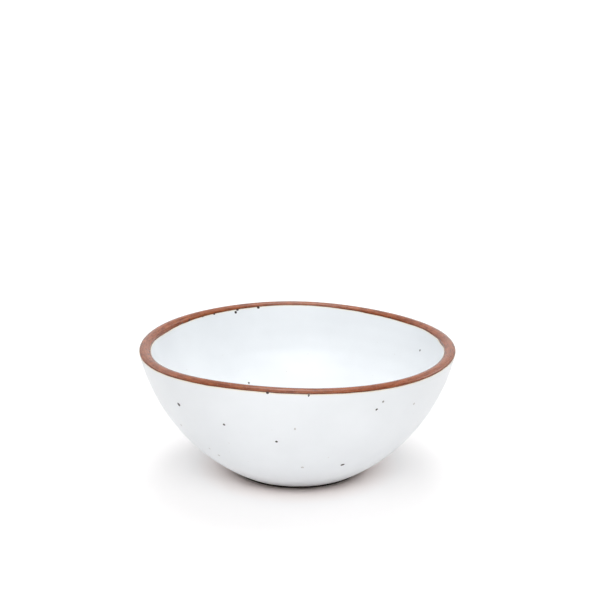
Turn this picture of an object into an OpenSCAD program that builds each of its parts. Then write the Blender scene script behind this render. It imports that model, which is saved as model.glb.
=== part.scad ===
// Soup bowl: one clay body with a bare rim and foot, and a coat of glaze inside and outside.
// The axis is Z, and the bowl stands on the plane z = 0. Sizes are in millimetres.

/* [Bowl] */
// Outside diameter across the rim
rim_d = 165; // [145:1:185]
// Height from the table to the top of the rim
height = 68; // [58:1:78]
// Radius of the wall's outside curve, seen in section
wall_curve_r = 98.5; // [85:0.5:125]
// Thickness of the clay wall
wall_t = 5.5; // [4.5:0.1:8]

/* [Rim] */
// Rounding of the rim's inner and outer edges
lip_round = 0.7; // [0.4:0.1:1]
// Rise of the rim's crowned top above its two roundings
rim_crown = 0.8; // [0.2:0.05:1.2]
// Bare clay on the outside, from the rounded edge down to the glaze
bare_outside = 0.1; // [0.1:0.1:6]
// Bare clay on the inside, from the rounded edge down to the glaze
bare_inside = 0.6; // [0.1:0.1:6]

/* [Floor] */
// Thickness of the clay floor
floor_t = 6.5; // [5:0.1:9]
// Radius of the inside curve from the floor to the wall
floor_curve_r = 45; // [25:1:52]

/* [Foot] */
// Outside diameter of the foot ring
foot_d = 68; // [56:1:80]
// Height of the foot ring's outside, below the wall's curve
foot_h = 1.1; // [1:0.1:4]
// Width of the foot ring
foot_ring_w = 7; // [4:0.1:12]
// Depth of the recess turned inside the foot ring
recess_depth = 2.2; // [1:0.1:4]
// Bevel on the foot ring's two edges
foot_bevel = 0.3; // [0.2:0.1:0.9]
// Bare clay between the foot ring and the outside glaze, along the wall
bare_foot = 0.2; // [0.1:0.1:4]

/* [Glaze] */
// Thickness of each coat of glaze
glaze_t = 0.25; // [0.15:0.05:0.8]

/* [Hidden] */
$fn = 256;

// Steps in which each round stretch of an outline is drawn
wall_steps = 48;
floor_steps = 36;
lip_steps = 10;
crown_steps = 12;
bare_steps = 4;

clay_colour = [0.55, 0.32, 0.23];
glaze_colour = [0.91, 0.93, 0.94];

// All points are [radius, height] in the half section of the bowl
foot_r = foot_d / 2;
recess_r = foot_r - foot_ring_w;
floor_z = recess_depth + floor_t;
inner_curve_r = wall_curve_r - wall_t;

// Where the wall's outside curve starts, at the top of the foot ring
wall_start = [foot_r, foot_h];

// Height of the centres of the rim's two roundings, and the centre of the outer one
lip_z = height - rim_crown - lip_round;
outer_lip = [rim_d / 2 - lip_round, lip_z];

// Centre of the wall's two curves: the outer one starts at the foot and touches the outer rounding
wall_centre = curve_centre(wall_start, wall_curve_r, outer_lip, wall_curve_r - lip_round);

// Centre of the rim's inner rounding, which touches the wall's inner curve
inner_lip = on_circle(wall_centre, inner_curve_r + lip_round, lip_z);

// The arc over the top of the rim, which touches both roundings
lip_gap = outer_lip.x - inner_lip.x;
crown_r = lip_round + ((lip_gap / 2) ^ 2 + rim_crown ^ 2) / (2 * rim_crown);
crown_centre = [inner_lip.x + lip_gap / 2, height - crown_r];
crown_start = bearing(crown_centre, inner_lip);
crown_end = bearing(crown_centre, outer_lip);

// Centre of the inside curve from the floor to the wall, which touches both
floor_centre = on_circle(wall_centre, inner_curve_r - floor_curve_r, floor_z + floor_curve_r);

// Directions of the curves' ends, in degrees above level
foot_end = bearing(wall_centre, wall_start);
floor_end = bearing(wall_centre, floor_centre);
inner_lip_end = bearing(wall_centre, inner_lip);
outer_lip_end = bearing(wall_centre, outer_lip);

// Directions of the edges of the glaze
inside_edge = inner_lip_end - arc_angle(bare_inside, inner_curve_r);
outside_edge = outer_lip_end - arc_angle(bare_outside, wall_curve_r);
foot_edge = foot_end + arc_angle(bare_foot, wall_curve_r);

// Direction from one point to another
function bearing(from, to) = atan2(to.y - from.y, to.x - from.x);

// Angle that a length along an arc takes up
function arc_angle(length, r) = length / r * 180 / PI;

// The point at a given height on the right of a circle
function on_circle(centre, r, z) = [centre.x + sqrt(r ^ 2 - (z - centre.y) ^ 2), z];

// The point to the left of the way from p to q that is rp from p and rq from q
function curve_centre(p, rp, q, rq) =
    let (
        d = norm(q - p),
        along = (rp ^ 2 - rq ^ 2 + d ^ 2) / (2 * d),
        across = sqrt(rp ^ 2 - along ^ 2),
        way = (q - p) / d
    )
    p + along * way + across * [-way.y, way.x];

// Points along an arc, from one direction to another
function arc(centre, r, from, to, steps) =
    [for (i = [0:steps]) let (a = from + (to - from) * i / steps) centre + r * [cos(a), sin(a)]];

// The same points from the last to the first
function backwards(points) = [for (i = [len(points) - 1:-1:0]) points[i]];

// The inside, from the middle of the floor to the glaze's edge, with a coat of the given thickness
function inside_face(coat) = concat(
    [[0, floor_z + coat]],
    arc(floor_centre, floor_curve_r - coat, -90, floor_end, floor_steps),
    arc(wall_centre, inner_curve_r - coat, floor_end, inside_edge, wall_steps)
);

// The outside, from the glaze's edge at the rim to its edge at the foot, with a coat
function outside_face(coat) =
    arc(wall_centre, wall_curve_r + coat, outside_edge, foot_edge, wall_steps);

// The bare rim, from the inside glaze's edge over the top to the outside glaze's edge
function rim_face() = concat(
    arc(wall_centre, inner_curve_r, inside_edge, inner_lip_end, bare_steps),
    arc(inner_lip, lip_round, 180 + inner_lip_end, crown_start, lip_steps),
    arc(crown_centre, crown_r, crown_start, crown_end, crown_steps),
    arc(outer_lip, lip_round, crown_end, outer_lip_end, lip_steps),
    arc(wall_centre, wall_curve_r, outer_lip_end, outside_edge, bare_steps)
);

// The bare foot, from the outside glaze's edge to the middle of the recess
function foot_face() = concat(
    arc(wall_centre, wall_curve_r, foot_edge, foot_end, bare_steps),
    [
        [foot_r, foot_bevel],
        [foot_r - foot_bevel, 0],
        [recess_r + foot_bevel, 0],
        [recess_r, foot_bevel],
        [recess_r, recess_depth],
        [0, recess_depth]
    ]
);

module clay_body() {
    color(clay_colour) rotate_extrude()
        polygon(concat(inside_face(0), rim_face(), outside_face(0), foot_face()));
}

module inside_glaze() {
    color(glaze_colour) rotate_extrude()
        polygon(concat(inside_face(0), backwards(inside_face(glaze_t))));
}

module outside_glaze() {
    color(glaze_colour) rotate_extrude()
        polygon(concat(outside_face(0), backwards(outside_face(glaze_t))));
}

clay_body();
inside_glaze();
outside_glaze();
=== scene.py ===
import math
import random

import bmesh
import bpy
import numpy as np
from mathutils import Matrix, Vector


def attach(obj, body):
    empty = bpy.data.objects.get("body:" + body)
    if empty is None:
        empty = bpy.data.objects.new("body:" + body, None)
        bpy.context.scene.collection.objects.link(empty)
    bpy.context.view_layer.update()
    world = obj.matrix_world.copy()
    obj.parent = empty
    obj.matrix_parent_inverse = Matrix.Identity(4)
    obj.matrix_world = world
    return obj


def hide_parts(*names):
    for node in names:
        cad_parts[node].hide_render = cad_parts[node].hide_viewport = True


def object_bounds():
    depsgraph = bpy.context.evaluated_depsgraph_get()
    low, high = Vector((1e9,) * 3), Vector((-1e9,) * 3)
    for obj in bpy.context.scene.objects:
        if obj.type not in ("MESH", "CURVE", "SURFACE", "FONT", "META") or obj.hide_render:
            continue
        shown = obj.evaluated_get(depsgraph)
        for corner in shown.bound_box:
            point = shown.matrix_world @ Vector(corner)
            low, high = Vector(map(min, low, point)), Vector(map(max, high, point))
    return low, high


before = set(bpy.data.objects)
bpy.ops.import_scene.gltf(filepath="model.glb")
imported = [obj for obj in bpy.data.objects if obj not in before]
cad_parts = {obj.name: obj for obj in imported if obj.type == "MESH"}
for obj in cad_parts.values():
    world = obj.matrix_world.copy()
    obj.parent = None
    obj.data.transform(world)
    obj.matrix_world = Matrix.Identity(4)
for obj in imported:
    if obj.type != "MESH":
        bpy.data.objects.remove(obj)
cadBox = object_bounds()
mm = 0.001
bowlWidth = cadBox[1].x - cadBox[0].x
bowlHeight = cadBox[1].z
print("frame loaded:", round(bowlWidth / mm, 1), "mm across,", round(bowlHeight / mm, 1), "mm high")


# Helpers for meshes

def pick(piece):
    if bpy.context.mode != "OBJECT":
        bpy.ops.object.mode_set(mode="OBJECT")
    bpy.ops.object.select_all(action="DESELECT")
    piece.select_set(True)
    bpy.context.view_layer.objects.active = piece


def readPoints(piece):
    points = np.empty(len(piece.data.vertices) * 3, np.float32)
    piece.data.vertices.foreach_get("co", points)
    return points.reshape(-1, 3).astype(float)


def writePoints(piece, points):
    piece.data.vertices.foreach_set("co", points.astype(np.float32).ravel())
    piece.data.update()


def setAttribute(piece, name, values):
    layer = piece.data.attributes.new(name, "FLOAT", "POINT")
    layer.data.foreach_set("value", np.asarray(values, np.float32))


def around(points):
    return np.arctan2(points[:, 0], -points[:, 1])     # 0 at the front, a quarter turn at the right


def fromAxis(points):
    return np.hypot(points[:, 0], points[:, 1])


def nearness(distance, reach):
    return np.exp(-(distance / reach) ** 2)            # 1 at the place itself, fading as a bell


def wobble(angle, seed, slowest, fastest, fall):
    # an uneven line round the bowl that closes on itself, about -1 to 1
    dice = random.Random(seed)
    total = np.zeros_like(angle)
    for waves in range(slowest, fastest + 1):
        size = math.pow(slowest / waves, fall) * dice.uniform(0.5, 1)
        total += size * np.sin(waves * angle + dice.uniform(0, 2 * math.pi))
    return total / np.abs(total).max()


# Camera, at the photograph's viewing angle

photo = {
    "width": 600,                   # pixels
    "bowlMiddle": (297.3, 405.6),   # pixel where the aim point falls
    "focal": 1388.9,                # pixels
    "sensor": 36,                   # millimetres across
    "clip": (0.01, 50),             # nearest and farthest that it sees, metres
    "aimHeight": 33 * mm,
    "distance": 740 * mm,
    "elevation": 19.21,             # degrees above level
}
elevation = math.radians(photo["elevation"])
aimPoint = Vector((0, 0, photo["aimHeight"]))
toCamera = Vector((0, -math.cos(elevation), math.sin(elevation)))
cameraData = bpy.data.cameras.new("photoCamera")
cameraData.sensor_width = photo["sensor"]
cameraData.lens = photo["sensor"] * photo["focal"] / photo["width"]
cameraData.clip_start, cameraData.clip_end = photo["clip"]
camera = bpy.data.objects.new("photoCamera", cameraData)
bpy.context.scene.collection.objects.link(camera)
middle = photo["width"] / 2
tiltUp = math.atan((photo["bowlMiddle"][1] - middle) / photo["focal"])
turnRight = math.atan((middle - photo["bowlMiddle"][0]) / photo["focal"])
camera.location = aimPoint + toCamera * photo["distance"]
camera.rotation_euler = (math.pi / 2 - elevation + tiltUp, 0, -turnRight)
bpy.context.scene.camera = camera
bpy.context.view_layer.update()


def sightLine(pixel):
    # start and direction of the line of sight through a pixel of the photograph
    across = (pixel[0] - middle) / photo["focal"]
    down = (pixel[1] - middle) / photo["focal"]
    way = camera.matrix_world.to_3x3() @ Vector((across, -down, -1))
    return camera.location.copy(), way.normalized()


print("camera set")


# Turning: half sections are cut from the solids and spun into clean rings

turning = {
    "steps": 384,               # facets round the bowl
    "weld": 0.002 * mm,
    "cutWidth": 1e-6,           # how near to the cutting plane a point counts as on it, metres
    "rimRows": 0.6 * mm,        # spacing of rows on the bare rim
    "rimBand": 3 * mm,          # how far below the edges of the glaze these go
    "footRows": 1.5 * mm,       # spacing on the foot
    "footBand": 2 * mm,         # how far above the edge of the glaze these go
    "edgeRows": 0.3 * mm,       # spacing at the edges of the glaze
    "edgeReach": 2.2 * mm,
    "mostCuts": 30,             # points put into one line of a section
    "slack": 1e-4,              # share of a spacing by which a line may be too long
    "endDeep": 0.3 * mm,        # how much of a coat counts as its end
    "besideEnd": (3 * mm, 9 * mm),  # the stretch of a coat that gives the wall's direction
    "coatRound": 0.08 * mm,     # rounding of a coat's edge
    "coatCorner": 60,           # degrees, corners sharper than this are rounded
    "sharp": 32,                # degrees, edges sharper than this aren't shaded smooth
}


def halfSection(nodeName, pieceName):
    piece = bpy.data.objects.new(pieceName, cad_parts[nodeName].data.copy())
    bpy.context.scene.collection.objects.link(piece)
    piece.data.materials.clear()
    while piece.data.uv_layers:
        piece.data.uv_layers.remove(piece.data.uv_layers[0])
    pick(piece)
    bpy.ops.mesh.customdata_custom_splitnormals_clear()
    bpy.ops.object.mode_set(mode="EDIT")
    bpy.ops.mesh.select_mode(type="VERT")
    bpy.ops.mesh.select_all(action="SELECT")
    bpy.ops.mesh.remove_doubles(threshold=turning["weld"])
    bpy.ops.mesh.bisect(plane_co=(0, 0, 0), plane_no=(0, 1, 0), clear_inner=True, clear_outer=True,
                        threshold=turning["cutWidth"])
    bpy.ops.mesh.select_all(action="SELECT")
    bpy.ops.mesh.bisect(plane_co=(0, 0, 0), plane_no=(1, 0, 0), clear_inner=True,
                        threshold=turning["cutWidth"])
    bpy.ops.mesh.select_all(action="SELECT")
    bpy.ops.mesh.remove_doubles(threshold=turning["weld"])
    return piece


def addRows(piece, longest, where):
    # lines of the section that are longer than this get points between
    bpy.ops.mesh.select_mode(type="EDGE")
    for cuts in range(turning["mostCuts"], 0, -1):
        mesh = bmesh.from_edit_mesh(piece.data)
        for edge in mesh.edges:
            centre = (edge.verts[0].co + edge.verts[1].co) / 2
            needed = math.ceil(edge.calc_length() / longest - turning["slack"]) - 1
            edge.select_set(min(needed, turning["mostCuts"]) == cuts and where(centre))
        found = any(edge.select for edge in mesh.edges)
        bmesh.update_edit_mesh(piece.data)
        if found:
            bpy.ops.mesh.subdivide(number_cuts=cuts)


def thinRows(piece, where):
    # every second point of a stretch that doesn't show goes
    bpy.ops.mesh.select_mode(type="VERT")
    bpy.ops.mesh.select_all(action="DESELECT")
    mesh = bmesh.from_edit_mesh(piece.data)
    point = next(v for v in mesh.verts if len(v.link_edges) == 1)
    edge, count = None, 0
    while True:
        if where(point.co):
            count += 1
            point.select_set(count % 2 == 0)
        ahead = [e for e in point.link_edges if e is not edge]
        if not ahead:
            break
        edge = ahead[0]
        point = edge.other_vert(point)
    bmesh.update_edit_mesh(piece.data)
    bpy.ops.mesh.dissolve_verts()


def spinRound(piece):
    pick(piece)
    wheel = piece.modifiers.new("wheel", "SCREW")
    wheel.axis = "Z"
    wheel.angle = 2 * math.pi
    wheel.steps = wheel.render_steps = turning["steps"]
    bpy.ops.object.modifier_apply(modifier=wheel.name)
    bpy.ops.object.mode_set(mode="EDIT")
    bpy.ops.mesh.select_mode(type="VERT")
    bpy.ops.mesh.select_all(action="SELECT")
    bpy.ops.mesh.remove_doubles(threshold=turning["weld"])
    bpy.ops.mesh.normals_make_consistent(inside=False)
    bpy.ops.object.mode_set(mode="OBJECT")


def roundCoat(piece):
    pick(piece)
    bevel = piece.modifiers.new("roundEdge", "BEVEL")
    bevel.width = turning["coatRound"]
    bevel.segments = 2
    bevel.limit_method = "ANGLE"
    bevel.angle_limit = math.radians(turning["coatCorner"])
    bpy.ops.object.modifier_apply(modifier=bevel.name)


def coatEnd(piece, top):
    # in section, the middle of a coat's end and the upward way along the wall there
    points = readPoints(piece)
    section = np.stack([fromAxis(points), points[:, 2]], 1)
    tip = section[:, 1].max() if top else section[:, 1].min()
    place = section[np.abs(section[:, 1] - tip) < turning["endDeep"]].mean(0)
    far = np.hypot(section[:, 0] - place[0], section[:, 1] - place[1])
    nearest, farthest = turning["besideEnd"]
    beside = section[(far > nearest) & (far < farthest)].mean(0)
    way = place - beside if top else beside - place
    return Vector((place[0], 0, place[1])), Vector((way[0], 0, way[1])).normalized()


outsideGlaze = halfSection("outside_glaze", "glazeOutside")
bpy.ops.object.mode_set(mode="OBJECT")
edgeOutside, wayOutside = coatEnd(outsideGlaze, True)
edgeFoot, wayFoot = coatEnd(outsideGlaze, False)
insideGlaze = halfSection("inside_glaze", "glazeInside")
bpy.ops.object.mode_set(mode="OBJECT")
edgeInside, wayInside = coatEnd(insideGlaze, True)
edgePlaces = {"outside": edgeOutside, "inside": edgeInside, "foot": edgeFoot}
wallWays = {"outside": wayOutside, "inside": wayInside, "foot": wayFoot}


def edgeGap(point):
    # in section, how far a point is from the nearest edge of the glaze
    return min((point - edge).length for edge in edgePlaces.values())


for coat in (outsideGlaze, insideGlaze):
    pick(coat)
    bpy.ops.object.mode_set(mode="EDIT")
    addRows(coat, turning["edgeRows"], lambda p: edgeGap(p) < turning["edgeReach"])
    spinRound(coat)
    roundCoat(coat)
    print(coat.name, "turned,", len(coat.data.polygons), "faces")

rimLow = min(edgeOutside.z, edgeInside.z) - turning["rimBand"]
footHigh = edgeFoot.z + turning["footBand"]
clay = halfSection("clay_body", "bowlClay")
addRows(clay, turning["rimRows"], lambda p: p.z > rimLow)
addRows(clay, turning["footRows"], lambda p: p.z < footHigh)
addRows(clay, turning["edgeRows"], lambda p: (p - edgeFoot).length < turning["edgeReach"])
thinRows(clay, lambda p: rimLow > p.z > footHigh)
spinRound(clay)
print(clay.name, "turned,", len(clay.data.polygons), "faces")


# Unevenness from the hand that threw it

handMade = {
    "rimLift": 0.35 * mm,
    "rimTilt": (0.10 * mm, -0.65 * mm),     # front and right side, up
    "rimFold": (0.68 * mm, 0.09 * mm),      # front and back up, sides down; the same an eighth turn on
    "rimTwist": (0.15 * mm, -0.42 * mm),    # three waves round
    "rimRipple": (0.14 * mm, -0.15 * mm),   # four
    "rimFlutter": (-0.14 * mm, -0.02 * mm), # five
    "footShift": 0.3 * mm,      # the foot stands a little to the right of the rim
    "ringDepth": 0.035 * mm,    # throwing rings on the wall
    "ringPitch": 7.5 * mm,
    "ringStart": 0.12,          # shares of the bowl's height: where they start,
    "ringGrow": 0.2,            # grow to their depth
    "ringFade": 0.15,           # and fade below the rim
    "edgeWander": 0.16 * mm,    # unevenness of the glaze's edges
    "footLift": 0.85 * mm,      # the glaze ends a little above the foot
    "footWander": 0.2 * mm,
    "paintedShadeHeight": 0.8 * mm,       # how far above the foot the bare clay is darkened as painted contact shadow
    "paintedShadeFade": 0.4 * mm,
    "paintedShadeUnder": 1.2 * mm,  # how far in under the foot the painted shadow stays dark, and then fades
    "edgeHold": 2.0 * mm,       # how far down a coat the wander is felt
    "thinReach": 0.5 * mm,      # how far in from its edge the glaze is thin
    "stainAndShadeReach": 0.55 * mm,    # how far the clay is stained, and darkened as painted shade, beside the glaze
}
# unevenness along each edge: seed, slowest and fastest waves round, how the fast ones fall off
edgeWaves = {
    "outside": (11, 6, 70, 0.5),
    "inside": (23, 6, 70, 0.5),
    "foot": (31, 2, 26, 0.9),
}
# where an edge of the glaze stands higher or lower: degrees round, spread, height
edgeDips = {
    "inside": [(95.5, 5, -0.85 * mm), (107, 5, -0.35 * mm), (127, 9, -0.35 * mm),
               (140, 9, -0.15 * mm), (180, 20, 0.45 * mm), (219, 9, -0.2 * mm),
               (231, 7, -0.15 * mm), (248, 14.5, -1.35 * mm)],
    "outside": [(37, 15, -0.35 * mm)],
    "foot": [(5, 35, -0.33 * mm)],
}


def edgeShift(angle, which):
    uneven = wobble(angle, *edgeWaves[which])
    if which == "foot":
        shift = handMade["footLift"] + handMade["footWander"] * uneven
    else:
        shift = handMade["edgeWander"] * uneven
    for place, reach, height in edgeDips[which]:
        aside = (np.degrees(angle) - place + 180) % 360 - 180
        shift = shift + height * nearness(aside, reach)
    return shift


def edgeDistance(points, which):
    # distance in section from an edge of the glaze, wander included
    shift = edgeShift(around(points), which)
    place, way = edgePlaces[which], wallWays[which]
    return np.hypot(fromAxis(points) - place.x - shift * way.x, points[:, 2] - place.z - shift * way.z)


def wanderEdge(points, which):
    angle = around(points)
    place, way = edgePlaces[which], wallWays[which]
    far = np.hypot(fromAxis(points) - place.x, points[:, 2] - place.z)
    shift = edgeShift(angle, which) * nearness(far, handMade["edgeHold"])
    out = np.stack([np.sin(angle), -np.cos(angle), np.zeros_like(angle)], 1)
    moved = points + out * (shift * way.x)[:, None]
    moved[:, 2] += shift * way.z
    return moved


def throwShape(points):
    angle = around(points)
    height = points[:, 2] / bowlHeight
    moved = points.copy()
    lift = np.full_like(angle, handMade["rimLift"])
    rimWaves = ("rimTilt", "rimFold", "rimTwist", "rimRipple", "rimFlutter")
    for waves, name in enumerate(rimWaves, start=1):
        frontUp, rightUp = handMade[name]
        lift += frontUp * np.cos(waves * angle) + rightUp * np.sin(waves * angle)
    moved[:, 2] += height ** 2 * lift
    moved[:, 0] += handMade["footShift"] * (1 - height)
    fade = np.clip((height - handMade["ringStart"]) / handMade["ringGrow"], 0, 1)
    fade *= np.clip((1 - height) / handMade["ringFade"], 0, 1)
    turn = 2 * math.pi * points[:, 2] / handMade["ringPitch"] + angle
    ring = handMade["ringDepth"] * fade * np.sin(turn)
    moved[:, 0] += ring * np.sin(angle)
    moved[:, 1] -= ring * np.cos(angle)
    return moved


def finishTurned(piece):
    pick(piece)
    bpy.ops.object.shade_smooth_by_angle(angle=math.radians(turning["sharp"]))
    piece.data.update()


for coat, ends in ((outsideGlaze, ("outside", "foot")), (insideGlaze, ("inside",))):
    points = readPoints(coat)
    for end in ends:
        points = wanderEdge(points, end)
    nearest = np.min([edgeDistance(points, end) for end in ends], axis=0)
    setAttribute(coat, "thinGlaze", nearness(nearest, handMade["thinReach"]))
    writePoints(coat, throwShape(points))
    finishTurned(coat)

points = readPoints(clay)
nearest = np.min([edgeDistance(points, end) for end in edgePlaces], axis=0)
# iron stain beside the glaze's edges, partly painted shade where clay meets glaze
setAttribute(clay, "stainAndShadeLine", nearness(nearest, handMade["stainAndShadeReach"]))
# painted contact shadow: the bare clay at the foot's outer edge is darkened nearly black
paintedShadeTop = edgeFoot.z + handMade["paintedShadeHeight"]
lowEnough = np.clip((paintedShadeTop - points[:, 2]) / handMade["paintedShadeFade"] + 1, 0, 1)
farOut = np.clip((fromAxis(points) - edgeFoot.x) / handMade["paintedShadeUnder"] + 2, 0, 1)
setAttribute(clay, "footPaintedShade", lowEnough * farOut)
writePoints(clay, throwShape(points))
finishTurned(clay)
print("unevenness given")


# Helpers for materials

def newMaterial(name):
    made = bpy.data.materials.new(name)
    made.use_nodes = True
    tree = made.node_tree
    tree.nodes.clear()
    output = tree.nodes.new("ShaderNodeOutputMaterial")
    shader = tree.nodes.new("ShaderNodeBsdfPrincipled")
    tree.links.new(shader.outputs["BSDF"], output.inputs["Surface"])
    return made, tree, shader


def plug(tree, socket, value):
    if isinstance(value, bpy.types.NodeSocket):
        tree.links.new(value, socket)
    else:
        socket.default_value = value


def calc(tree, operation, first, second=0.0):
    node = tree.nodes.new("ShaderNodeMath")
    node.operation = operation
    plug(tree, node.inputs[0], first)
    plug(tree, node.inputs[1], second)
    return node.outputs[0]


def times(tree, first, second):
    return calc(tree, "MULTIPLY", first, second)


def plus(tree, first, second):
    return calc(tree, "ADD", first, second)


def spread(tree, value, fromLow, fromHigh, toLow, toHigh):
    node = tree.nodes.new("ShaderNodeMapRange")
    node.clamp = True
    plug(tree, node.inputs["Value"], value)
    node.inputs["From Min"].default_value = fromLow
    node.inputs["From Max"].default_value = fromHigh
    node.inputs["To Min"].default_value = toLow
    node.inputs["To Max"].default_value = toHigh
    return node.outputs["Result"]


noiseRange = (0.3, 0.7)     # nearly all of a noise lies between these


def spreadNoise(tree, noise, low, high):
    return spread(tree, noise, *noiseRange, low, high)


def blendColour(tree, share, first, second):
    node = tree.nodes.new("ShaderNodeMix")
    node.data_type = "RGBA"
    plug(tree, node.inputs["Factor"], share)
    for socket, colour in ((node.inputs[6], first), (node.inputs[7], second)):
        plug(tree, socket, (*colour, 1) if isinstance(colour, tuple) else colour)
    return node.outputs[2]


def noiseOf(tree, vector, scale, detail, rough, w=None):
    node = tree.nodes.new("ShaderNodeTexNoise")
    if w is not None:
        node.noise_dimensions = "4D"
        plug(tree, node.inputs["W"], w)
    plug(tree, node.inputs["Vector"], vector)
    node.inputs["Scale"].default_value = scale
    node.inputs["Detail"].default_value = detail
    node.inputs["Roughness"].default_value = rough
    return node.outputs["Fac"]


def dotsOf(tree, vector, scale, size, over, share):
    # round dots in the cells that draw a number over this, each with a strength of its own
    cells = tree.nodes.new("ShaderNodeTexVoronoi")
    plug(tree, cells.inputs["Vector"], vector)
    cells.inputs["Scale"].default_value = scale
    draws = tree.nodes.new("ShaderNodeSeparateColor")
    tree.links.new(cells.outputs["Color"], draws.inputs[0])
    dot = spread(tree, cells.outputs["Distance"], *size, 1, 0)
    chosen = times(tree, dot, calc(tree, "GREATER_THAN", draws.outputs[0], over))
    return times(tree, chosen, spread(tree, draws.outputs[1], 0, 1, *share))


def bumpOf(tree, shader, height, strength, distance):
    node = tree.nodes.new("ShaderNodeBump")
    node.inputs["Strength"].default_value = strength
    node.inputs["Distance"].default_value = distance
    plug(tree, node.inputs["Height"], height)
    tree.links.new(node.outputs["Normal"], shader.inputs["Normal"])


def attributeOf(tree, name):
    node = tree.nodes.new("ShaderNodeAttribute")
    node.attribute_name = name
    return node.outputs["Fac"]


def objectCoords(tree):
    return tree.nodes.new("ShaderNodeTexCoord").outputs["Object"]


# White satin glaze

glazeLook = {
    "white": (0.838, 0.866, 0.889),
    "shade": (0.806, 0.833, 0.856),
    "cream": (0.84, 0.72, 0.54),        # where the coat is thin, at its edges
    "pin": (0.46, 0.36, 0.28),          # pinpricks of clay that show through
    "cloud": (30, 3, 0.55),             # noises: scale, detail, roughness
    "patchy": (650, 2, 0.6),
    "satin": (90, 3, 0.5),
    "skin": (520, 2, 0.5),
    "swell": (90, 2, 0.5),
    "cloudRange": (0.35, 0.65),
    "thinShare": (0.55, 1.0),
    "rough": (0.30, 0.42),
    "swellShare": 2.0,                  # height of the swell beside the fine skin's
    "bump": 0.06, "bumpDepth": 0.3 * mm,
}
# cells to the metre, where a dot starts to fade and ends, the draw it needs, weakest and strongest
glazePins = {"scale": 330, "size": (0.05, 0.16), "over": 0.93, "share": (0.05, 0.35)}
whiteGlaze, tree, shader = newMaterial("whiteGlaze")
coords = objectCoords(tree)
cloud = spread(tree, noiseOf(tree, coords, *glazeLook["cloud"]), *glazeLook["cloudRange"], 0, 1)
colour = blendColour(tree, cloud, glazeLook["white"], glazeLook["shade"])
colour = blendColour(tree, dotsOf(tree, coords, **glazePins), colour, glazeLook["pin"])
patchy = spreadNoise(tree, noiseOf(tree, coords, *glazeLook["patchy"]), *glazeLook["thinShare"])
thin = times(tree, attributeOf(tree, "thinGlaze"), patchy)
colour = blendColour(tree, thin, colour, glazeLook["cream"])
tree.links.new(colour, shader.inputs["Base Color"])
satin = spreadNoise(tree, noiseOf(tree, coords, *glazeLook["satin"]), *glazeLook["rough"])
tree.links.new(satin, shader.inputs["Roughness"])
swell = times(tree, noiseOf(tree, coords, *glazeLook["swell"]), glazeLook["swellShare"])
skin = plus(tree, noiseOf(tree, coords, *glazeLook["skin"]), swell)
bumpOf(tree, shader, skin, glazeLook["bump"], glazeLook["bumpDepth"])
for coat in (outsideGlaze, insideGlaze):
    coat.data.materials.append(whiteGlaze)


# Bare stoneware

clayLook = {
    "light": (0.365, 0.104, 0.040),
    "mid": (0.165, 0.039, 0.014),
    "ochre": (0.31, 0.10, 0.030),
    "stainAndShadeColour": (0.085, 0.024, 0.008),      # iron stain beside the glaze, partly painted shade where clay meets glaze
    "fleck": (0.07, 0.028, 0.015),
    "grain": (0.42, 0.23, 0.15),
    # painted contact shadow, nearly black, on the foot's outer edge
    "foot": (0.022, 0.014, 0.011),
    "streakFine": 1500,                 # streaks from turning: fine across the wall,
    "streakLong": 14,                   # long round the bowl
    "axisGap": 0.5 * mm,                # nearer to the axis than this they aren't drawn out
    "streaks": (1.0, 3, 0.6),           # noises: scale, detail, roughness
    "grainNoise": (1400, 4, 0.65),
    "blotch": (160, 3, 0.55),
    "rusty": (330, 2, 0.5),
    "grainShare": 0.18,                 # what each adds to the tone
    "streakShare": 0.62,
    "blotchShare": 0.2,
    "toneRange": (0.4, 0.6),
    "rustyRange": (0.55, 0.72),
    "rustyMost": 0.6,
    "stainAndShadeShare": (0.35, 0.95),
    "rough": (0.17, 0.27),
    "streakBump": 0.6,                  # height of the streaks beside the grain's
    "bump": 0.06, "bumpDepth": 0.2 * mm,
}
clayFlecks = {"scale": 900, "size": (0.15, 0.35), "over": 0.72, "share": (0.15, 0.6)}
clayGrains = {"scale": 1300, "size": (0.15, 0.4), "over": 0.8, "share": (0.4, 0.4)}
bareClay, tree, shader = newMaterial("bareClay")
coords = objectCoords(tree)
axes = tree.nodes.new("ShaderNodeSeparateXYZ")
tree.links.new(coords, axes.inputs[0])
clayAcross, clayDeep, clayUp = axes.outputs
squares = plus(tree, times(tree, clayAcross, clayAcross), times(tree, clayDeep, clayDeep))
reach = calc(tree, "SQRT", squares)
safeReach = calc(tree, "MAXIMUM", reach, clayLook["axisGap"])
lathe = tree.nodes.new("ShaderNodeCombineXYZ")
plug(tree, lathe.inputs[0], times(tree, reach, clayLook["streakFine"]))
for socket, side in ((lathe.inputs[1], clayAcross), (lathe.inputs[2], clayDeep)):
    turned = calc(tree, "DIVIDE", side, safeReach)
    plug(tree, socket, times(tree, turned, clayLook["streakLong"]))
upFine = times(tree, clayUp, clayLook["streakFine"])
streaks = noiseOf(tree, lathe.outputs[0], *clayLook["streaks"], w=upFine)
grainNoise = noiseOf(tree, coords, *clayLook["grainNoise"])
blotch = noiseOf(tree, coords, *clayLook["blotch"])
streakTone = times(tree, streaks, clayLook["streakShare"])
blotchTone = times(tree, blotch, clayLook["blotchShare"])
grainTone = times(tree, grainNoise, clayLook["grainShare"])
tone = plus(tree, grainTone, plus(tree, streakTone, blotchTone))
lightShare = spread(tree, tone, *clayLook["toneRange"], 0, 1)
colour = blendColour(tree, lightShare, clayLook["mid"], clayLook["light"])
rusty = noiseOf(tree, coords, *clayLook["rusty"])
rusty = spread(tree, rusty, *clayLook["rustyRange"], 0, clayLook["rustyMost"])
colour = blendColour(tree, rusty, colour, clayLook["ochre"])
colour = blendColour(tree, dotsOf(tree, coords, **clayFlecks), colour, clayLook["fleck"])
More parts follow.
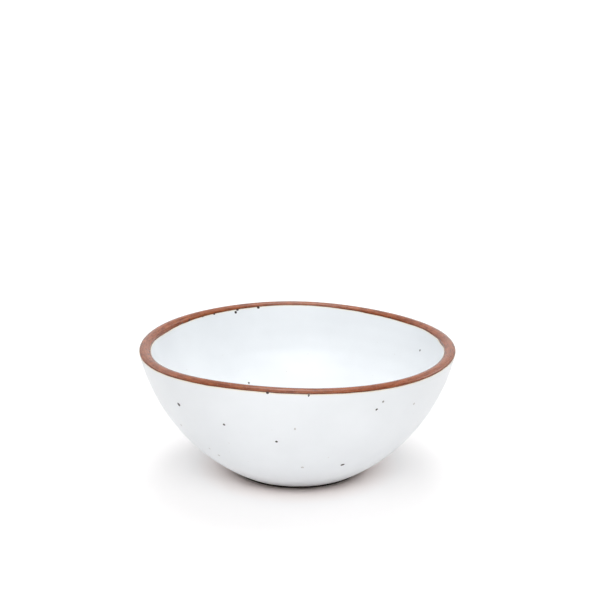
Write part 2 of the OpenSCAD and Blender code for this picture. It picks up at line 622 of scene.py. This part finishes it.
colour = blendColour(tree, dotsOf(tree, coords, **clayGrains), colour, clayLook["grain"])
# iron stain beside the glaze's edges, partly painted shade where clay meets glaze
stainAndShade = spreadNoise(tree, blotch, *clayLook["stainAndShadeShare"])
stainAndShade = times(tree, attributeOf(tree, "stainAndShadeLine"), stainAndShade)
colour = blendColour(tree, stainAndShade, colour, clayLook["stainAndShadeColour"])
# painted contact shadow on the foot's outer edge
colour = blendColour(tree, attributeOf(tree, "footPaintedShade"), colour, clayLook["foot"])
tree.links.new(colour, shader.inputs["Base Color"])
tree.links.new(spreadNoise(tree, grainNoise, *clayLook["rough"]), shader.inputs["Roughness"])
clayRelief = plus(tree, times(tree, streaks, clayLook["streakBump"]), grainNoise)
bumpOf(tree, shader, clayRelief, clayLook["bump"], clayLook["bumpDepth"])
clay.data.materials.append(bareClay)
print("materials made")


# Iron specks in the glaze and the rim, each a flat lump seated in the surface

speckLook = {
    "core": (0.03, 0.022, 0.018),
    "edge": (0.17, 0.12, 0.09),
    "buried": (0.64, 0.635, 0.625),     # as it shows through the glaze
    "rimCore": (0.036, 0.013, 0.008),
    "rimEdge": (0.10, 0.032, 0.016),
    "proud": 0.10,              # height of a speck as a share of its width
    "uneven": 0.13,             # how far its points stray, as a share of its width
    "shapes": 5,
    "shapeSeed": 40,
    "diceSeed": 77,
    "rust": (2600, 3, 0.6),     # noise: scale, detail, roughness
    "ragged": 0.2,              # how much the rust frays the core
    "coreRange": (-0.05, 0.2),
    "rough": (0.35, 0.55),
    "bump": 0.2, "bumpDepth": 0.05 * mm,
}
# pixel, length and breadth in mm, lean in degrees, how deep it lies under the glaze
specksSeenOutside = [
    ((178.9, 404.6), 2.4, 2.4, -60, 0.0), ((224.1, 424.6), 1.6, 1.6, 0, 0.05),
    ((276.5, 441.7), 1.6, 1.5, 0, 0.0), ((342.5, 464.8), 2.4, 2.1, 20, 0.0),
    ((376.7, 409.5), 1.5, 1.3, 30, 0.05), ((383.2, 401.7), 1.4, 1.4, 0, 0.45),
    ((308.7, 395.5), 1.6, 1.1, 80, 0.1), ((181.2, 425.0), 1.8, 1.4, 0, 0.9),
    ((219.0, 455.3), 1.8, 1.6, 0, 0.85), ((209.5, 448.5), 1.4, 1.2, 0, 0.9),
    ((295.0, 429.0), 1.8, 1.1, 90, 0.9), ((302.4, 467.4), 1.8, 1.8, 0, 0.88),
    ((414.0, 403.8), 1.4, 1.4, 0, 0.85),
]
specksSeenInside = [
    ((235.7, 312.3), 1.8, 1.7, 0, 0.0), ((248.9, 382.9), 1.5, 1.4, 0, 0.15),
    ((419.9, 350.4), 1.6, 1.4, 0, 0.25),
]
specksSeenRim = [
    ((258.4, 307.5), 1.9, 1.7, 0, 0.0), ((267.5, 392.8), 1.6, 1.4, 0, 0.0),
    ((237.6, 309.8), 1.9, 1.2, 10, 0.0), ((189.4, 320.4), 2.2, 1.5, 30, 0.0),
    ((390.5, 318.3), 2.0, 1.2, -20, 0.0), ((214.3, 314.0), 1.7, 1.1, 15, 0.0),
    ((182.0, 323.6), 2.6, 1.1, 25, 0.0), ((202.6, 316.8), 1.5, 1.0, 20, 0.0),
    ((371.5, 314.2), 1.6, 1.0, -15, 0.0),
]
# specks where the photograph doesn't show the bowl
hiddenSpecks = {
    "outside": 16, "inside": 6, "rim": 5,
    "tries": 4000,
    "sureArea": 3.2 * mm * mm,  # a face this large is taken whenever it is drawn
    "apart": 14 * mm,
    "length": (0.9, 1.6),       # mm
    "breadth": (0.65, 1.0),     # share of the length
    "depths": (0.0, 0.0, 0.1, 0.3, 0.8),
    "mostUpward": 0.2,          # of an outside face's normal
    "pastAxis": 10 * mm,        # inside ones lie this far to the front of the axis
    "aboveTable": 10 * mm,
    "besideEdge": 1.2 * mm,     # rim ones lie this near to an edge of the glaze
}


def speckShape(seed):
    bpy.ops.object.select_all(action="DESELECT")
    bpy.ops.mesh.primitive_ico_sphere_add(subdivisions=2, radius=0.5)
    lump = bpy.context.object
    bpy.ops.object.mode_set(mode="EDIT")
    bpy.ops.mesh.select_all(action="SELECT")
    bpy.ops.transform.vertex_random(offset=speckLook["uneven"], seed=seed)
    bpy.ops.mesh.vertices_smooth(factor=0.5, repeat=1)
    bpy.ops.transform.resize(value=(1.0, 1.0, speckLook["proud"]), center_override=(0, 0, 0))
    bpy.ops.object.mode_set(mode="OBJECT")
    lump.name = "speckShape"
    return lump


shapes = [speckShape(speckLook["shapeSeed"] + i) for i in range(speckLook["shapes"])]
speckDice = random.Random(speckLook["diceSeed"])


def seatSpeck(place, normal, length, breadth, lean, depth):
    shape = speckDice.choice(shapes)
    lump = bpy.data.objects.new("speck", shape.data.copy())
    bpy.context.scene.collection.objects.link(lump)
    flat = readPoints(lump)
    setAttribute(lump, "core", np.clip(1 - 2 * fromAxis(flat), 0, 1))
    setAttribute(lump, "buried", np.full(len(flat), depth))
    level = Vector((0, 0, 1)).cross(normal).normalized()        # to the right, seen from outside
    turn = Matrix((level, normal.cross(level), normal)).transposed().to_4x4()
    leaning = Matrix.Rotation(math.radians(lean), 4, "Z")
    size = Matrix.Diagonal((length, breadth, math.sqrt(length * breadth), 1))
    lump.data.transform(Matrix.Translation(place) @ turn @ leaning @ size)
    for polygon in lump.data.polygons:
        polygon.use_smooth = True
    return lump


def joinSpecks(lumps, name, material):
    pick(lumps[0])
    for lump in lumps:
        lump.select_set(True)
    bpy.ops.object.join()
    joined = bpy.context.object
    joined.name = name
    joined.data.materials.clear()
    joined.data.materials.append(material)
    return joined


def firstSeen(pixel, pieces):
    # the nearest point on the line of sight, and the way the surface faces there
    start, way = sightLine(pixel)
    seen = [piece.ray_cast(start, way) for piece in pieces]
    return min(((place - start).length, place, normal) for hit, place, normal, face in seen if hit)[1:]


def specksOn(coat, seen, hiddenCount, fits, pieces=None):
    lumps, taken = [], []
    for pixel, length, breadth, lean, depth in seen:
        place, normal = firstSeen(pixel, pieces or [coat])
        lumps.append(seatSpeck(place, normal, length * mm, breadth * mm, lean, depth))
        taken.append(place)
    polygons = coat.data.polygons
    tries = 0
    while hiddenCount and tries < hiddenSpecks["tries"]:
        tries += 1
        face = polygons[speckDice.randrange(len(polygons))]
        keep = speckDice.random() < face.area / hiddenSpecks["sureArea"]
        if not keep or not fits(face.center, face.normal):
            continue
        if min((face.center - other).length for other in taken) < hiddenSpecks["apart"]:
            continue
        depth = speckDice.choice(hiddenSpecks["depths"])
        length = speckDice.uniform(*hiddenSpecks["length"]) * mm
        breadth = length * speckDice.uniform(*hiddenSpecks["breadth"])
        lean = speckDice.uniform(0, 180)
        place, normal = face.center.copy(), face.normal.copy()
        lumps.append(seatSpeck(place, normal, length, breadth, lean, depth))
        taken.append(place)
        hiddenCount -= 1
    return lumps


def speckMaterial(name, coreColour, edgeColour):
    made, tree, shader = newMaterial(name)
    rust = noiseOf(tree, objectCoords(tree), *speckLook["rust"])
    frayed = spreadNoise(tree, rust, -speckLook["ragged"], speckLook["ragged"])
    core = plus(tree, attributeOf(tree, "core"), frayed)
    core = spread(tree, core, *speckLook["coreRange"], 0, 1)
    colour = blendColour(tree, core, edgeColour, coreColour)
    colour = blendColour(tree, attributeOf(tree, "buried"), colour, speckLook["buried"])
    tree.links.new(colour, shader.inputs["Base Color"])
    tree.links.new(spreadNoise(tree, rust, *speckLook["rough"]), shader.inputs["Roughness"])
    bumpOf(tree, shader, rust, speckLook["bump"], speckLook["bumpDepth"])
    return made


ironSpeck = speckMaterial("ironSpeck", speckLook["core"], speckLook["edge"])
rimSpeck = speckMaterial("rimSpeck", speckLook["rimCore"], speckLook["rimEdge"])

bpy.context.view_layer.update()
eye = camera.location.copy()


def facesAway(place, normal):
    return (eye - place).dot(normal) < 0


def hiddenOutside(place, normal):
    out = Vector((place.x, place.y, 0))
    onOutside = normal.z < hiddenSpecks["mostUpward"] and out.dot(normal) > 0
    return onOutside and facesAway(place, normal)


def hiddenInside(place, normal):
    inAndUp = Vector((-place.x, -place.y, bowlHeight))
    atFront = place.y < -hiddenSpecks["pastAxis"] and place.z > hiddenSpecks["aboveTable"]
    return atFront and inAndUp.dot(normal) > 0 and facesAway(place, normal)


def hiddenRim(place, normal):
    inSection = Vector((math.hypot(place.x, place.y), 0, place.z))
    onRim = place.z > rimLow and edgeGap(inSection) < hiddenSpecks["besideEdge"]
    return onRim and facesAway(place, normal)


outsideLumps = specksOn(outsideGlaze, specksSeenOutside, hiddenSpecks["outside"], hiddenOutside)
outsideSpecks = joinSpecks(outsideLumps, "specksOutside", ironSpeck)
insideLumps = specksOn(insideGlaze, specksSeenInside, hiddenSpecks["inside"], hiddenInside)
insideSpecks = joinSpecks(insideLumps, "specksInside", ironSpeck)
allPieces = [clay, insideGlaze, outsideGlaze]
rimLumps = specksOn(clay, specksSeenRim, hiddenSpecks["rim"], hiddenRim, allPieces)
rimSpecks = joinSpecks(rimLumps, "specksRim", rimSpeck)
for shape in shapes:
    bpy.data.objects.remove(shape)
print("specks seated")


# Floor and light

studio = {
    "floorWide": 0.6,
    "floorDeep": 30.0,
    "floor": (0.955, 0.943, 0.94),
    "floorBounceTint": (0.995, 0.905, 0.875),     # beside the foot: painted warm bounce light from the clay
    "bounceFrom": 36 * mm, "bounceTo": 55 * mm,
    "floorRough": 0.9,
    "floorSheen": 0.1,
    "beyond": 1.1,              # what the camera sees past the floor
}
# soft banks of light, in degrees: round (0 is the front, 90 the right), up, spread round, spread up;
# and the strength
lightBanks = {
    "frontBox": (1, 45.2, 57, 4, 11.7),
    "frontHigh": (-18, 57, 88, 9, 1.8),
    "frontLow": (1, 5.4, 16, 6, 6.1),
    "rightBank": (118, 29, 20, 14, 3.3),
    "leftBank": (-118, 29, 28, 15.5, 1.65),
    "backScreen": (176, 19.6, 51, 33.5, 1.0),
    "backTop": (178, 66, 32, 11, 5.2),
    "overhead": (180, 82, 120, 9.5, 2.7),
}
bpy.ops.object.select_all(action="DESELECT")
bpy.ops.mesh.primitive_plane_add(size=1, location=(0, 0, cadBox[0].z))
floor = bpy.context.object
floor.name = "studioFloor"
floor.scale = (studio["floorWide"], studio["floorDeep"], 1)
bpy.ops.object.transform_apply(scale=True)
floorPaint, tree, shader = newMaterial("floorPaint")
bowlDistance = tree.nodes.new("ShaderNodeVectorMath")
bowlDistance.operation = "LENGTH"
tree.links.new(objectCoords(tree), bowlDistance.inputs[0])
# painted warm bounce light from the clay, on the floor beside the foot
bounceShare = spread(tree, bowlDistance.outputs["Value"], studio["bounceFrom"], studio["bounceTo"], 1, 0)
floorColour = blendColour(tree, bounceShare, studio["floor"], studio["floorBounceTint"])
tree.links.new(floorColour, shader.inputs["Base Color"])
shader.inputs["Roughness"].default_value = studio["floorRough"]
shader.inputs["Specular IOR Level"].default_value = studio["floorSheen"]
floor.data.materials.append(floorPaint)

world = bpy.data.worlds.new("studioLight")
bpy.context.scene.world = world
world.use_nodes = True
tree = world.node_tree
axes = tree.nodes.new("ShaderNodeSeparateXYZ")
tree.links.new(tree.nodes.new("ShaderNodeTexCoord").outputs["Generated"], axes.inputs[0])
acrossWay, depthWay, upWay = axes.outputs
frontWay = times(tree, depthWay, -1.0)
degreesRound = calc(tree, "DEGREES", calc(tree, "ARCTAN2", acrossWay, frontWay))
degreesUp = calc(tree, "DEGREES", calc(tree, "ARCSINE", upWay))


def bankOf(turn, up, spreadRound, spreadUp, strength):
    # brightest in one direction, fading as a bell to all sides
    aside = calc(tree, "PINGPONG", calc(tree, "SUBTRACT", degreesRound, turn), 180.0)
    aside = calc(tree, "DIVIDE", aside, spreadRound)
    above = calc(tree, "DIVIDE", calc(tree, "SUBTRACT", degreesUp, up), spreadUp)
    fall = plus(tree, times(tree, aside, aside), times(tree, above, above))
    return times(tree, calc(tree, "EXPONENT", times(tree, fall, -1.0)), strength)


total = 0.0
for bank in lightBanks.values():
    total = plus(tree, bankOf(*bank), total)
straight = tree.nodes.new("ShaderNodeLightPath").outputs["Is Camera Ray"]
backing = times(tree, straight, studio["beyond"])
hidden = calc(tree, "SUBTRACT", 1.0, straight)
background = tree.nodes["Background"]
background.inputs["Color"].default_value = (1, 1, 1, 1)
plug(tree, background.inputs["Strength"], plus(tree, times(tree, total, hidden), backing))

view = bpy.context.scene.view_settings
view.view_transform = "Standard"
view.look = "None"
print("studio lit")


# Ride on the frame, and hand over

for piece, node, slotName in ((clay, "clay_body", "clay"), (insideGlaze, "inside_glaze", "glaze"),
                              (outsideGlaze, "outside_glaze", "glaze")):
    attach(piece, "root")
    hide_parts(node)
for piece, slotName in ((insideSpecks, "glaze"), (outsideSpecks, "glaze"), (rimSpecks, "clay")):
    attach(piece, "root")

print("pieces ride on the frame")
